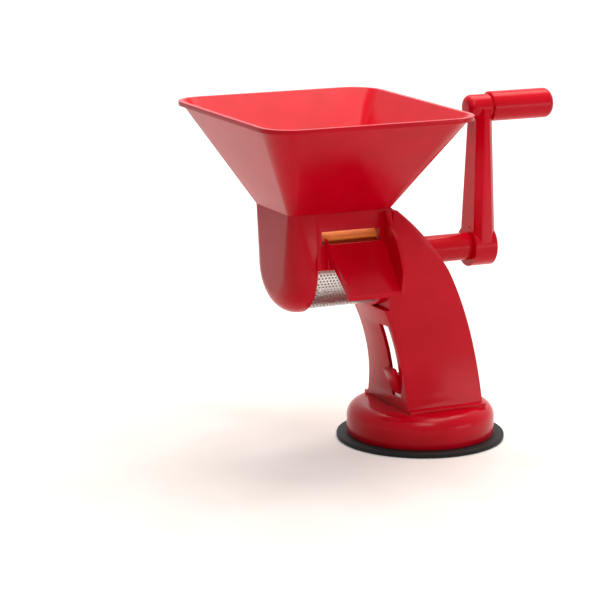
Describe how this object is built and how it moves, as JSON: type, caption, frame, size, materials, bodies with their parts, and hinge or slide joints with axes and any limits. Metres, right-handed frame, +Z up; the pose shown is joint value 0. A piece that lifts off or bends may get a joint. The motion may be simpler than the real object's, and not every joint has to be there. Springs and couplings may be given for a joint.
{
  "type": "food mill",
  "caption": "Hand-cranked tomato press: flared hopper over a horizontal straining drum with sprung wooden paddles, skin chute, curved column and lever-locked suction foot.",
  "frame": {"origin": "on the table under the middle of the suction foot", "axes": "+X along the rotor shaft towards the crank, +Y to the back, -Y where the skins come out, +Z up"},
  "size_m": [0.3035, 0.207, 0.2892],
  "materials": {
    "red_abs": "glossy injection-moulded red ABS",
    "zinc_steel": "zinc-plated steel",
    "screen_steel": "perforated stainless sheet",
    "nylon": "moulded natural nylon",
    "beech": "oiled beech",
    "black_rubber": "moulded black rubber"
  },
  "bodies": {
    "stand": {"base_housing": "red_abs", "suction_cup": "black_rubber", "pedestal": "red_abs", "drum_housing": "red_abs", "end_cover": "red_abs", "hopper": "red_abs", "skin_chute": "red_abs", "strainer_screen": "screen_steel", "left_bush": "nylon", "inner_bush": "nylon", "outer_bush": "nylon", "base_screws": "zinc_steel", "housing_screws": "zinc_steel", "cover_screws": "zinc_steel", "chute_screws": "zinc_steel", "lever_pin": "zinc_steel"},
    "rotor": {"rotor_shaft": "zinc_steel", "rotor_core": "nylon", "core_pin": "zinc_steel", "crank_arm": "red_abs", "crank_washer": "zinc_steel", "crank_nut": "zinc_steel", "grip_pin": "zinc_steel", "grip_ring": "zinc_steel", "paddle_springs_a": "zinc_steel", "paddle_springs_b": "zinc_steel"},
    "grip_sleeve": {"grip": "red_abs", "grip_cap": "red_abs"},
    "front_paddle": {"paddle_a": "beech"},
    "rear_paddle": {"paddle_b": "beech"},
    "lever": {"suction_lever": "red_abs"},
    "pull": {"pull_rod": "zinc_steel", "pull_washer": "zinc_steel", "pull_nut": "zinc_steel"}
  },
  "joints": [
    {"name": "crank_turn", "type": "hinge", "parent": "stand", "child": "rotor", "pos_m": [0, 0, 0.16], "axis": [1, 0, 0], "continuous": true},
    {"name": "grip_spin", "type": "hinge", "parent": "rotor", "child": "grip_sleeve", "pos_m": [0, 0, 0.2767], "axis": [1, 0, 0], "continuous": true},
    {"name": "paddle_a_slide", "type": "slide", "parent": "rotor", "child": "front_paddle", "axis": [0, -0.7071, 0.7071], "range_m": [-0.003, 0]},
    {"name": "paddle_b_slide", "type": "slide", "parent": "rotor", "child": "rear_paddle", "axis": [0, 0.7071, -0.7071], "range_m": [-0.003, 0]},
    {"name": "lever_tilt", "type": "hinge", "parent": "stand", "child": "lever", "pos_m": [0.012, 0, 0.075], "axis": [0, 1, 0], "range_deg": [0, 50]},
    {"name": "rod_lift", "type": "slide", "parent": "stand", "child": "pull", "axis": [0, 0, 1], "range_m": [0, 0.004]}
  ],
  "couplings": [
    {"joint": "lever_tilt", "follows": "rod_lift", "rad_per_m": 218.16}
  ]
}
